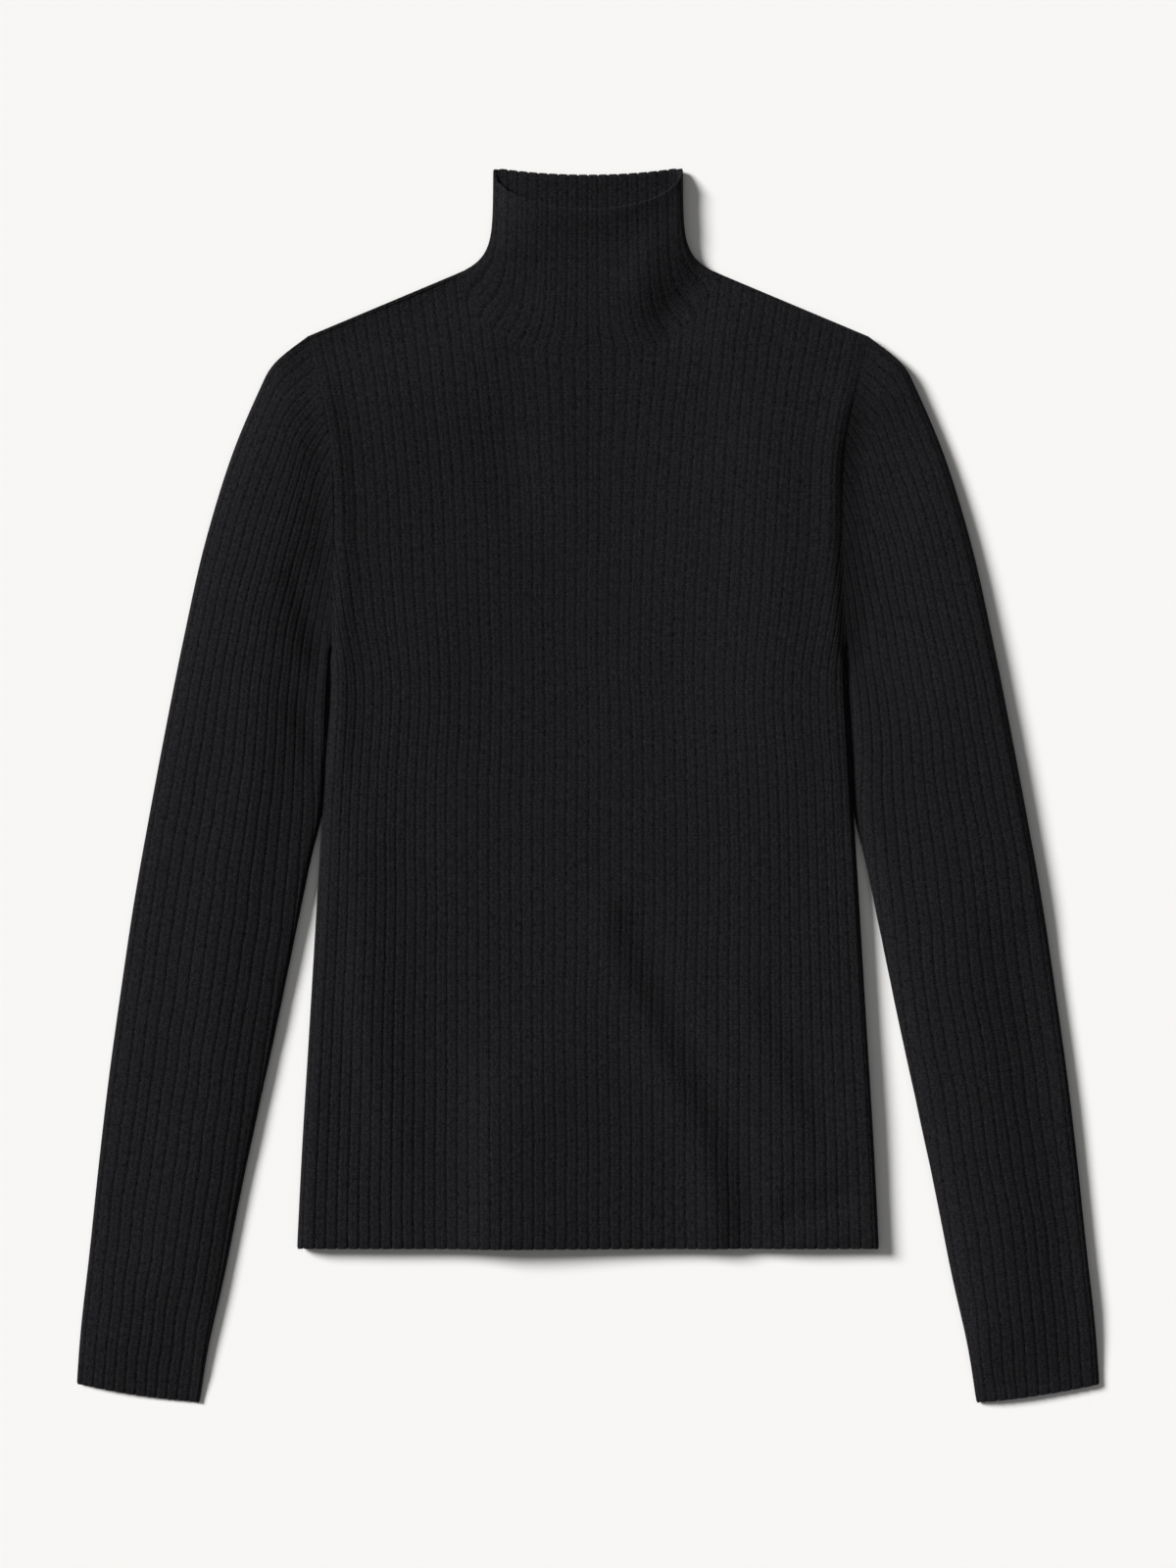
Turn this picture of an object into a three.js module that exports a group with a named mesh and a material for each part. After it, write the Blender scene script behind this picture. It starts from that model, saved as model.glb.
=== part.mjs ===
// Ribbed mock-turtleneck sweater laid flat, face up, sleeves down along the sides.
// Millimetres. +X to the right of the picture, +Y from hem to collar, +Z up from the table.
// Five knitted pieces: front, back, two sleeves and the collar. Each is a closed cloth wall, with
// its ribs raised on the outer face over a plain inner face.
import * as THREE from "three";

// The knit
const WALL = 2.0;              // plain wall between the ribs
const RIB_RAISE = 0.8;         // how far a rib stands out of the wall
const GROOVE = 0.2;            // half width of the groove between two ribs, in rib pitches
const SEAM = 0.35;             // gap left between two pieces at a seam

// The lie of the garment
const LAID_HEIGHT = 10.5;      // table to the plain upper face
const MID = LAID_HEIGHT / 2;   // height of every folded edge
const FOLD_REACH = 9;          // plan width over which the cloth rounds over at a folded edge
const FOLD_ARC = 11.8;         // cloth along that rounding, from folded edge to level top
const SIDE_CLEAR = 0.8;        // sleeve's inner fold to the side of the body

// Rib counts, from the centre groove to the side of the body, the armhole and the neck point
const SIDE_RIB = 27;
const ARMHOLE_RIB = 23;
const NECK_RIB = 10;
const SLEEVE_RIBS = 17;        // ribs on the face of the sleeve at the armhole
const BACK_NECK_RIBS = [2, 5, 7.5, 9, 9.7];  // where back panel and collar share their points

// Neck, collar and shoulder
const NECK_X = 81.6;           // neck point, from the centre
const NECK_Y = 311.7;
const SHOULDER_X = 171.6;      // shoulder tip, where the sleeve's outer fold begins
const SHOULDER_Y = 273.9;
const FRONT_NECK_DROP = 46.8;  // from the neck point down to the collar seam at centre front
const BACK_NECK_DROP = 14;
const NECK_SQUARENESS = 3.8;   // power of the neck curve, flat at centre and steep at the sides
const COLLAR_HALF = 58.2;      // half width of the collar between its side folds
const COLLAR_FLARE = 9;        // height over which the collar spreads into the shoulder
const COLLAR_TOP = 377.7;      // top corners of the collar
const COLLAR_FRONT_DIP = 26;   // centre of the front edge below the corners
const COLLAR_BACK_DIP = 5.2;
const FRONT_EDGE_SHAPE = 0.47; // half an ellipse at 0.5
const BACK_EDGE_SHAPE = 0.9;   // a shallow arc
const CUFF_BOW = 1.5;          // the cuff edge bows out a little at its middle

// Body from the hem up to just below the underarm: side fold and the rib pitch at the centre
const BODY_ROWS = [
  { y: -284.1, half: 178.2, pitch: 6.6 },
  { y: -219.3, half: 174.9, pitch: 6.65 },
  { y: -150.3, half: 170.7, pitch: 6.7 },
  { y: -78.3, half: 166.4, pitch: 6.75 },
  { y: -6.3, half: 162.0, pitch: 6.78 },
  { y: 59.7, half: 158.4, pitch: 6.6 },
];

// Armhole seam from shoulder tip to underarm, with the body rib and the sleeve rib that end there
const ARMHOLE = [
  { x: SHOULDER_X, y: SHOULDER_Y, bodyRib: 23, sleeveRib: 0 },
  { x: 163.8, y: 239.7, bodyRib: 23, sleeveRib: 5 },
  { x: 158.7, y: 215.7, bodyRib: 23, sleeveRib: 9 },
  { x: 156.3, y: 194.7, bodyRib: 23, sleeveRib: 11 },
  { x: 155.7, y: 167.7, bodyRib: 23, sleeveRib: 13 },
  { x: 155.7, y: 149.7, bodyRib: 23, sleeveRib: 14 },
  { x: 156.2, y: 128.7, bodyRib: 24, sleeveRib: 15 },
  { x: 157.0, y: 104.7, bodyRib: 26, sleeveRib: 16 },
  { x: 157.8, y: 80.7, bodyRib: 27, sleeveRib: 17 },
];
const CHEST_ROW = ARMHOLE[5];  // the armhole runs straight up its last rib from here
const UNDERARM = ARMHOLE[8];

// Sleeve from armhole to cuff: outer fold, inner fold, ribs on its face, and how much of the
// armhole's curve the row still follows
const SLEEVE_ROWS = [
  { outX: 171.6, outY: 273.9, inX: 157.8, inY: 80.7, ribs: 17, bow: 1 },
  { outX: 191.7, outY: 257.7, inX: 158.0, inY: 73.2, ribs: 17, bow: 0.86 },
  { outX: 201.9, outY: 239.7, inX: 158.2, inY: 65.7, ribs: 17, bow: 0.72 },
  { outX: 219.3, outY: 197.7, inX: 158.9, inY: 50.7, ribs: 17, bow: 0.46 },
  { outX: 235.5, outY: 143.7, inX: 159.9, inY: 32.7, ribs: 16.9, bow: 0.2 },
  { outX: 247.5, outY: 89.7, inX: 161.2, inY: 8.7, ribs: 16.6, bow: 0 },
  { outX: 258.3, outY: 35.7, inX: 162.9, inY: -18.3, ribs: 16.1, bow: 0 },
  { outX: 268.5, outY: -18.3, inX: 169.9, inY: -48.3, ribs: 15.4, bow: 0 },
  { outX: 278.1, outY: -72.3, inX: 178.6, inY: -90.3, ribs: 14.7, bow: 0 },
  { outX: 286.2, outY: -126.3, inX: 189.1, inY: -141.3, ribs: 14.1, bow: 0 },
  { outX: 293.7, outY: -180.3, inX: 200.8, inY: -195.3, ribs: 13.6, bow: 0 },
  { outX: 300.0, outY: -234.3, inX: 212.2, inY: -248.7, ribs: 13.2, bow: 0 },
  { outX: 305.7, outY: -288.3, inX: 222.7, inY: -301.5, ribs: 12.9, bow: 0 },
  { outX: 310.5, outY: -330.3, inX: 232.0, inY: -342.9, ribs: 12.7, bow: 0 },
  { outX: 313.6, outY: -367.5, inX: 238.0, inY: -378.9, ribs: 12.5, bow: 0 },
];

// Collar rows, as heights above the neck point
const COLLAR_ROWS = [0, 2, 5, 10, 19, 33, 50, COLLAR_TOP - NECK_Y];

// Rows between chest and shoulder, as a share of the way up. The last ones round the shoulder fold
const SHOULDER_ROUNDING = [0.937, 0.983, 0.9965, 1];

// Each armhole seam lies in a valley, steep on the body's side of it and wide on the sleeve's
const VALLEY = [
  { y: 273.9, depth: 0.5 },
  { y: 239.7, depth: 0.9 },
  { y: 215.7, depth: 1.3 },
  { y: 167.7, depth: 1.6 },
  { y: 80.7, depth: 1.6 },
];
const VALLEY_BODY_SIDE = 4.5;
const VALLEY_SLEEVE_SIDE = 15;

// Soft folds in the upper layer: troughs have a negative lift
const CREASES = [
  // along the body's edges
  { path: [[-162, 244], [-152, 200], [-149, 150], [-149, 50], [-150, 10]], width: 7, lift: 1.1 },
  { path: [[-152, -20], [-156, -90]], width: 7, lift: 0.6 },
  { path: [[158, 236], [150, 196], [148, 150], [148, 100], [152, -10]], width: 9, lift: 0.7 },
  // front
  { path: [[-30, 208], [-18, 118]], width: 28, lift: -0.9 },
  { path: [[118, 190], [110, 20]], width: 36, lift: 1.1 },
  { path: [[-138, -40], [-136, -130], [-124, -215]], width: 13, lift: 1.1 },
  { path: [[-58, -185], [-55, -290]], width: 17, lift: 1.4 },
  { path: [[12, -82], [20, -105], [41, -165], [72, -238], [78, -290]], width: 11, lift: 0.9 },
  { path: [[34, -86], [60, -160], [94, -238], [98, -290]], width: 12, lift: -0.9 },
  { path: [[97, -136], [130, -212]], width: 9, lift: 0.7 },
  { path: [[112, -130], [146, -205]], width: 9, lift: -0.7 },
  // shoulders
  { path: [[-92, 302], [-168, 268]], width: 28, lift: -1 },
  { path: [[92, 302], [168, 268]], width: 20, lift: -0.6 },
  // neck
  { path: [[78, 322], [70, 310], [60, 296], [48, 284]], width: 14, lift: -0.9 },
  { path: [[50, 352], [38, 330], [30, 312]], width: 14, lift: 1.1 },
  { path: [[-62, 334], [-40, 302]], width: 13, lift: -0.6 },
  // left sleeve
  { path: [[-194, 130], [-202, 50], [-216, -60], [-234, -180], [-258, -330]], width: 26, lift: 1.4 },
  { path: [[-168, 112], [-170, 72]], width: 9, lift: -0.6 },
  { path: [[-268, -374], [-244, -380]], width: 16, lift: -0.9 },
  // right sleeve
  { path: [[206, 150], [212, 40], [222, -80], [238, -180], [256, -300], [262, -370]],
    width: 28, lift: 1.2 },
  { path: [[264, -120], [290, -230], [302, -330]], width: 14, lift: -0.6 },
];

const mirrored = (path) => path.map(([x, y]) => [-x, y]).reverse();

const COLOURS = { face: 0x232325, inside: 0x1d1d1f };

const lerp = (from, to, share) => from + (to - from) * share;
const lerp2 = (a, b, share) => [lerp(a[0], b[0], share), lerp(a[1], b[1], share)];

// Value of a named column of a table at a given key, straight between its rows
function readTable(rows, key, column, at) {
  const rising = rows[rows.length - 1][key] > rows[0][key];
  let next = rows.findIndex((row) => (rising ? row[key] >= at : row[key] <= at));
  next = next < 0 ? rows.length - 1 : Math.max(next, 1);
  const [low, high] = [rows[next - 1], rows[next]];
  return lerp(low[column], high[column], (at - low[key]) / (high[key] - low[key]));
}

// Nearest point of a path to a plan point, with the cloth side of that path
function nearestOn(path, x, y) {
  let best = { distance: Infinity };
  for (let i = 0; i + 1 < path.length; i += 1) {
    const [ax, ay] = path[i];
    const [dx, dy] = [path[i + 1][0] - ax, path[i + 1][1] - ay];
    const long = dx * dx + dy * dy;
    const share = THREE.MathUtils.clamp(((x - ax) * dx + (y - ay) * dy) / long, 0, 1);
    const away = [x - ax - dx * share, y - ay - dy * share];
    const distance = Math.hypot(...away);
    if (distance < best.distance - 1e-9) {
      const size = Math.sqrt(long);
      best = { distance, away, clothSide: [-dy / size, dx / size] };
    }
  }
  return best;
}

function valleyLift(x, y) {
  const { distance, away } = nearestOn(ARMHOLE.map((row) => [row.x, row.y]), Math.abs(x), y);
  const height = THREE.MathUtils.clamp(y, UNDERARM.y, SHOULDER_Y);
  const depth = readTable(VALLEY, "y", "depth", height);
  const near = away[0] > 0
    ? (distance / VALLEY_SLEEVE_SIDE) ** 3
    : (distance / VALLEY_BODY_SIDE) ** 2;
  return -depth * Math.exp(-near);
}

function creaseLift(x, y) {
  return CREASES.reduce((sum, { path, width, lift }) => {
    const { distance } = nearestOn(path, x, y);
    return sum + lift * Math.exp(-((distance / width) ** 2));
  }, valleyLift(x, y));
}

// A point of a wall laid flat. Near a folded edge the cloth turns from level down to mid height.
// side is 1 on the upper layer and -1 on the lower, depth 0 outside and WALL inside.
// The wall thickens away from the fold, or along a seam where way gives the seam's direction.
function clothPoint([x, y], folds, { side, depth, raise = 0, parting = 0, way = null }) {
  const fold = folds
    .map((path) => nearestOn(path, x, y))
    .reduce((a, b) => (b.distance < a.distance ? b : a));
  const turn = Math.max(0, 1 - fold.distance / FOLD_REACH);
  const level = Math.sqrt(1 - turn * turn);
  const inward = way ?? fold.away.map((value, k) => value + fold.clothSide[k]);
  const size = Math.hypot(...inward);
  const shift = (depth * turn) / size;
  const rise = parting + (MID - parting - depth) * level;
  const relief = side > 0 ? (raise + creaseLift(x, y)) * level : 0;
  return [x + inward[0] * shift, y + inward[1] * shift, MID + side * rise + relief];
}

// Columns of a ribbed face: a groove and the two shoulders of the rib after it
function ribColumns(first, last) {
  const columns = [];
  for (let rib = first; rib < last; rib += 1) {
    columns.push(rib, rib + GROOVE, rib + 1 - GROOVE);
  }
  return [...columns, last];
}

function plainColumns(first, last) {
  return Array.from({ length: last - first + 1 }, (_, i) => first + i);
}

const raiseAt = (rib) => (Number.isInteger(rib) ? 0 : RIB_RAISE);

// Share of a layer's plan width at a share of its cloth, which is longer than the plan because it
// rounds over at both folded edges
function planShare(share, width) {
  const cloth = width + 2 * (FOLD_ARC - FOLD_REACH);
  const along = Math.min(share, 1 - share) * cloth;
  const offset = along < FOLD_ARC
    ? FOLD_REACH * (1 - Math.cos((along / FOLD_ARC) * (Math.PI / 2)))
    : along - FOLD_ARC + FOLD_REACH;
  return share <= 0.5 ? offset / width : 1 - offset / width;
}

// Neck curve, from one neck point down and up to the other
function neckPoint(rib, drop) {
  const share = rib / NECK_RIB;
  const across = share * (1.04 - 0.04 * share * share);
  return [across * NECK_X, NECK_Y - drop * (1 - Math.abs(across) ** NECK_SQUARENESS)];
}

// Top end of a body rib, on the neck curve or on the shoulder
function ribTop(rib, neckDrop) {
  if (Math.abs(rib) <= NECK_RIB) {
    return neckPoint(rib, neckDrop);
  }
  const share = (Math.abs(rib) - NECK_RIB) / (ARMHOLE_RIB - NECK_RIB);
  return [Math.sign(rib) * lerp(NECK_X, SHOULDER_X, share), lerp(NECK_Y, SHOULDER_Y, share)];
}

// Ribs crowd towards the side of the body, so the pitch falls off from the centre
function bodyPoint({ y, half, pitch }, rib) {
  const cloth = half - FOLD_REACH + FOLD_ARC;
  const crowding = (SIDE_RIB * pitch - cloth) / SIDE_RIB ** 3;
  const along = Math.abs(rib) * pitch - crowding * Math.abs(rib) ** 3;
  const past = Math.max(0, along - (half - FOLD_REACH));
  const x = past > 0
    ? half - FOLD_REACH + FOLD_REACH * Math.sin((past / FOLD_ARC) * (Math.PI / 2))
    : along;
  return [Math.sign(rib) * Math.min(x, half), y];
}

// The row that crosses the chest and then follows the lower armhole down to the underarm
function chestPoint(rib) {
  const size = Math.abs(rib);
  if (size <= ARMHOLE_RIB) {
    return [(rib * CHEST_ROW.x) / ARMHOLE_RIB, CHEST_ROW.y];
  }
  const lower = ARMHOLE.slice(5);
  const x = readTable(lower, "bodyRib", "x", size);
  return [Math.sign(rib) * x, readTable(lower, "bodyRib", "y", size)];
}

// Above the chest the ribs spread towards the neck, and the last one runs up the armhole
function yokePoint(rib, share, neckDrop) {
  const [chest, top] = [chestPoint(rib), ribTop(rib, neckDrop)];
  const y = lerp(chest[1], top[1], share);
  const spread = share ** 1.5;
  const edgeY = lerp(CHEST_ROW.y, SHOULDER_Y, share);
  const edge = readTable(ARMHOLE, "y", "x", edgeY) - lerp(CHEST_ROW.x, SHOULDER_X, spread);
  const x = lerp(chest[0], top[0], spread) + edge * Math.sign(rib) * (rib / ARMHOLE_RIB) ** 4;
  return [x, y];
}

// Plan points of a body panel, row by row from the hem, with null past the armhole
function panelPlan(columns, neckDrop) {
  const rows = BODY_ROWS.map((row) => columns.map((rib) => bodyPoint(row, rib)));
  const last = rows[rows.length - 1];
  const chest = columns.map(chestPoint);
  rows.push(last.map((point, i) => lerp2(point, chest[i], 0.5)), chest);
  const armholeRise = ARMHOLE.slice(1, 5).reverse()
    .map(({ y }) => (y - CHEST_ROW.y) / (SHOULDER_Y - CHEST_ROW.y));
  for (const share of [...armholeRise, ...SHOULDER_ROUNDING]) {
    rows.push(columns.map((rib) => (
      Math.abs(rib) <= ARMHOLE_RIB ? yokePoint(rib, share, neckDrop) : null)));
  }
  return rows;
}

// Right side fold of the collar, from the neck point up
function collarEdge(rise) {
  const flare = (NECK_X - COLLAR_HALF) * Math.exp(-rise / COLLAR_FLARE);
  return [COLLAR_HALF + flare, NECK_Y + rise];
}

// Folded edges of the right half of the body and collar, cloth on the left of each path
const SIDE_FOLD = [...BODY_ROWS.map(({ y, half }) => [half, y]), [UNDERARM.x, UNDERARM.y]];
const SHOULDER_FOLD = [[SHOULDER_X, SHOULDER_Y], ...COLLAR_ROWS.map(collarEdge)];

const BODY_FOLDS = [SIDE_FOLD, SHOULDER_FOLD, mirrored(SIDE_FOLD), mirrored(SHOULDER_FOLD)];

// Faces of a grid of points. A closed grid joins its last column to its first.
function gridFaces(grid, firstIndex, { closed = false, flip = false }) {
  const points = [];
  const index = grid.map((row) => row.map((point) => {
    if (point === null) {
      return null;
    }
    points.push(point);
    return firstIndex + points.length - 1;
  }));
  const faces = [];
  const width = grid[0].length;
  for (let j = 0; j + 1 < grid.length; j += 1) {
    for (let i = 0; i < (closed ? width : width - 1); i += 1) {
      const next = (i + 1) % width;
      const [a, b, c, d] = [index[j][i], index[j][next], index[j + 1][next], index[j + 1][i]];
      if ([a, b, c, d].includes(null)) {
        continue;
      }
      faces.push(...(flip ? [[a, c, b], [a, d, c]] : [[a, b, c], [a, c, d]]));
    }
  }
  return { points, faces };
}

// Open edges of a surface, as loops of point numbers
function openLoops(faces) {
  const used = new Set(faces.flatMap(([a, b, c]) => [`${a},${b}`, `${b},${c}`, `${c},${a}`]));
  const next = new Map();
  for (const edge of used) {
    const [a, b] = edge.split(",").map(Number);
    if (!used.has(`${b},${a}`)) {
      next.set(a, b);
    }
  }
  const loops = [];
  while (next.size > 0) {
    const loop = [];
    let at = Math.min(...next.keys());
    while (next.has(at)) {
      loop.push(at);
      const following = next.get(at);
      next.delete(at);
      at = following;
    }
    loops.push(loop);
  }
  return loops;
}

// Cloth edge between an outer and an inner loop that run side by side
function edgeFaces(points, outer, inner) {
  const apart = (a, b) => Math.hypot(...points[a].map((value, k) => value - points[b][k]));
  const start = inner.reduce((best, at, k) => (
    apart(outer[0], at) < apart(outer[0], inner[best]) ? k : best), 0);
  const across = inner.map((_, k) => inner[(start - k + 2 * inner.length) % inner.length]);
  const faces = [];
  let [i, j] = [0, 0];
  while (i < outer.length || j < across.length) {
    const [a, nextA] = [outer[i % outer.length], outer[(i + 1) % outer.length]];
    const [b, nextB] = [across[j % across.length], across[(j + 1) % across.length]];
    if (j >= across.length || (i < outer.length && apart(nextA, b) <= apart(a, nextB))) {
      faces.push([nextA, a, b]);
      i += 1;
    } else {
      faces.push([b, nextB, a]);
      j += 1;
    }
  }
  return faces;
}

// A closed wall from its outer and inner grids. Facing is 1 where the outer grid's rows and
// columns turn anticlockwise seen from outside, and -1 where they turn the other way.
function clothWall(outerGrid, innerGrid, { closed = false, facing = 1 }) {
  const outer = gridFaces(outerGrid, 0, { closed, flip: facing < 0 });
  const inner = gridFaces(innerGrid, outer.points.length, { closed, flip: facing > 0 });
  const points = [...outer.points, ...inner.points];
  const innerLoops = openLoops(inner.faces);
  const edges = openLoops(outer.faces).flatMap((loop) => {
    const centre = (of) => of.reduce((sum, at) => sum + points[at][1], 0) / of.length;
    const partner = innerLoops.reduce((a, b) => (
      Math.abs(centre(b) - centre(loop)) < Math.abs(centre(a) - centre(loop)) ? b : a));
    return edgeFaces(points, loop, partner);
  });
  const geometry = new THREE.BufferGeometry();
  geometry.setAttribute("position", new THREE.Float32BufferAttribute(points.flat(), 3));
  geometry.setIndex([...outer.faces, ...inner.faces, ...edges].flat());
  geometry.computeVertexNormals();
  return geometry;
}

function frontPanel() {
  const layer = (columns, depth) => panelPlan(columns, FRONT_NECK_DROP)
    .map((row) => row.map((point, i) => point && clothPoint(point, BODY_FOLDS, {
      side: 1,
      depth,
      raise: depth > 0 ? 0 : raiseAt(columns[i]),
      parting: SEAM / 2,
    })));
  return clothWall(
    layer(ribColumns(-SIDE_RIB, SIDE_RIB), 0),
    layer(plainColumns(-SIDE_RIB, SIDE_RIB), WALL),
    { facing: 1 },
  );
}

// The back lies on the table: a plain level underside with its side and shoulder edges turned up
function backPanel() {
  const right = [...BACK_NECK_RIBS, 10, 13, 16, 19, 22, 23, 24, 25, 26, 26.5, 27];
  const columns = [...right.map((rib) => -rib).reverse(), ...right];
  const layer = (depth) => panelPlan(columns, BACK_NECK_DROP)
    .map((row) => row.map((point) => point && clothPoint(point, BODY_FOLDS, {
      side: -1,
      depth,
      parting: SEAM / 2,
    })));
  return clothWall(layer(0), layer(WALL), { facing: -1 });
}

// Plan point of a sleeve layer at a share of the way from outer to inner fold
function sleevePlan(row, share, hand) {
  const armRib = share * SLEEVE_RIBS;
  const seam = [
    readTable(ARMHOLE, "sleeveRib", "x", armRib) + SEAM,
    readTable(ARMHOLE, "sleeveRib", "y", armRib),
  ];
  const chord = lerp2([SHOULDER_X + SEAM, SHOULDER_Y], [UNDERARM.x + SEAM, UNDERARM.y], share);
  const [outer, inner] = sleeveFolds(row);
  const flat = lerp2(outer, inner, share);
  const cuffBow = row === SLEEVE_ROWS[SLEEVE_ROWS.length - 1] ? 4 * share * (1 - share) : 0;
  return [
    hand * (flat[0] + row.bow * (seam[0] - chord[0])),
    flat[1] + row.bow * (seam[1] - chord[1]) - CUFF_BOW * cuffBow,
  ];
}

function sleeveFolds({ outX, outY, inX, inY, bow }) {
  const atSeam = bow === 1;
  return [
    [outX + (atSeam ? SEAM : 0), outY],
    [inX + (atSeam ? SEAM : SIDE_CLEAR), inY],
  ];
}

// A flattened tube: ribs on the upper layer, some of them passing under the inner fold on the way
// to the cuff, and a plain lower layer on the table
function sleeve(hand) {
  const folds = SLEEVE_ROWS.map(sleeveFolds);
  const rightPaths = [folds.map(([outer]) => outer).reverse(), folds.map(([, inner]) => inner)];
  const paths = hand > 0 ? rightPaths : rightPaths.map(mirrored);
  const lower = [16.6, 16, 15, 14, 13, 11, 9, 5, 1.5, 0.5].map((rib) => 1 - rib / SLEEVE_RIBS);
  const seamWay = [hand * (ARMHOLE[1].x - SHOULDER_X), ARMHOLE[1].y - SHOULDER_Y];
  const ring = (columns, depth) => SLEEVE_ROWS.map((row) => {
    const [outer, inner] = sleeveFolds(row);
    const width = Math.hypot(outer[0] - inner[0], outer[1] - inner[1]);
    const lastRib = SLEEVE_RIBS / row.ribs;
    const around = [
      ...columns.map((rib) => rib / row.ribs),
      ...lower.map((share) => lerp(lastRib, 2, share)),
    ];
    return around.map((at, i) => {
      const share = at <= 1 ? at : 2 - at;
      const plan = sleevePlan(row, row.bow === 1 ? share : planShare(share, width), hand);
      return clothPoint(plan, paths, {
        side: at <= 1 ? 1 : -1,
        depth,
        raise: depth > 0 || i >= columns.length ? 0 : raiseAt(columns[i]),
        way: row.bow === 1 && share < 0.5 ? seamWay : null,
      });
    });
  });
  return clothWall(
    ring(ribColumns(0, SLEEVE_RIBS), 0),
    ring(plainColumns(0, SLEEVE_RIBS), WALL),
    { closed: true, facing: hand },
  );
}

// Plan point of a collar layer, between the neck curve, the side folds and the top edge
function collarPlan(rib, rise, neckDrop, topDip, edgeShape) {
  const up = rise / (COLLAR_TOP - NECK_Y);
  const share = (rib / NECK_RIB + 1) / 2;
  const width = 2 * collarEdge(rise)[0];
  const across = rise > 0 ? planShare(share, width) : share;
  const base = neckPoint((2 * across - 1) * NECK_RIB, neckDrop);
  const side = Math.abs(2 * across - 1);
  base[0] -= Math.sign(2 * across - 1) * SEAM * 1.2 * side ** 3;
  base[1] += SEAM;
  const topX = (2 * across - 1) * COLLAR_HALF;
  const top = [topX, COLLAR_TOP - topDip * (1 - side ** 2) ** edgeShape];
  const straight = lerp2([NECK_X - SEAM * 1.2, NECK_Y + SEAM], [COLLAR_HALF, COLLAR_TOP], up);
  const edge = collarEdge(rise);
  const pull = rise > 0 ? edge[0] - straight[0] : 0;
  return [lerp(base[0], top[0], up) + pull * (2 * across - 1), lerp(base[1], top[1], up)];
}

// The collar: one ring, its ribbed front over its back, standing up from the neck curve
function collar() {
  const paths = [SHOULDER_FOLD, mirrored(SHOULDER_FOLD)];
  const back = [...BACK_NECK_RIBS.toReversed(), ...BACK_NECK_RIBS.map((rib) => -rib)];
  const ring = (columns, depth) => COLLAR_ROWS.map((rise) => [
    ...columns.map((rib) => clothPoint(
      collarPlan(rib, rise, FRONT_NECK_DROP, COLLAR_FRONT_DIP, FRONT_EDGE_SHAPE),
      paths,
      { side: 1, depth, raise: depth > 0 ? 0 : raiseAt(rib) },
    )),
    ...back.map((rib) => clothPoint(
      collarPlan(rib, rise, BACK_NECK_DROP, COLLAR_BACK_DIP, BACK_EDGE_SHAPE),
      paths,
      { side: -1, depth },
    )),
  ]);
  return clothWall(
    ring(ribColumns(-NECK_RIB, NECK_RIB), 0),
    ring(plainColumns(-NECK_RIB, NECK_RIB), WALL),
    { closed: true, facing: 1 },
  );
}

function knitted(name, geometry, colour) {
  const material = new THREE.MeshStandardMaterial({ color: colour, roughness: 0.95, metalness: 0 });
  const mesh = new THREE.Mesh(geometry, material);
  mesh.name = name;
  return mesh;
}

const sweater = new THREE.Group();
sweater.add(
  knitted("front_panel", frontPanel(), COLOURS.face),
  knitted("back_panel", backPanel(), COLOURS.inside),
  knitted("left_sleeve", sleeve(-1), COLOURS.face),
  knitted("right_sleeve", sleeve(1), COLOURS.face),
  knitted("collar", collar(), COLOURS.face),
);

export default sweater;
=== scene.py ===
import math

import bmesh
import bpy
import numpy as np
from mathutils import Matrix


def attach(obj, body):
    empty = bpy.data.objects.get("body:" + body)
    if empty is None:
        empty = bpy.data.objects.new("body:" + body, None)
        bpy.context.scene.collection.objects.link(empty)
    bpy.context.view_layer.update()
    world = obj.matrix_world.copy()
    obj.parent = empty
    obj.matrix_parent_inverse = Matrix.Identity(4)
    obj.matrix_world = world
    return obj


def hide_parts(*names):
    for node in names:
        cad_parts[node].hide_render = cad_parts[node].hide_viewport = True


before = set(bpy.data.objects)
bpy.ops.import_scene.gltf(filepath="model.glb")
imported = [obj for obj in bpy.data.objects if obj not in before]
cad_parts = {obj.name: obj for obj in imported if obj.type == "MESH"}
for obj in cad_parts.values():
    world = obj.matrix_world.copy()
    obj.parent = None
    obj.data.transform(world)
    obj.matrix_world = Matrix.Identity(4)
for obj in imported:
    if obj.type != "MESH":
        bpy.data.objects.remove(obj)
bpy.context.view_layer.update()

# A ribbed mock-turtleneck sweater laid flat, face up. Metres, with the tables in millimetres.
# +X is to the right of the picture, +Y from hem to collar and +Z up from the table.
MM = 0.001


def table(names, *rows):
    """Rows of millimetres or counts as one array for each named column."""
    return dict(zip(names.split(), np.array(rows, float).T))


# The knit
WALL = 2.0            # cloth between its outer and inner face
RIB_RAISE = 0.36      # how far a rib stands out of the sleeves and collar
GROOVE = 0.075        # half width of the groove between two ribs, in rib pitches
COURSE = 2.1          # one row of stitches along a rib
SEAM = 0.04           # between two pieces sewn together

# The lie of the garment
LAID_HEIGHT = 10.5
MID = LAID_HEIGHT / 2
FOLD_REACH = 9.0
FOLD_ARC = 11.8
# Plan width over which the upper layer turns down: the body at its right and left edges, the
# collar, and each sleeve at its outer and inner edge
RIGHT_REACH, LEFT_REACH, COLLAR_REACH, COLLAR_RIGHT_REACH = 3.5, 9.0, 12.0, 3.0
SLEEVE_REACH = {-1: (23.0, 2.5), 1: (6.0, 14.0)}
SIDE_CLEAR = 0.15     # between a sleeve and the body beside it
EDGE_ROUND = 1.6      # the open edges round over within this distance
SCALLOP = 0.5         # how far a rib stands past its grooves at an open edge

# Rib counts from the centre groove
SIDE_RIB, ARMHOLE_RIB, NECK_RIB, SLEEVE_RIBS = 27, 23, 10, 17

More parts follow.
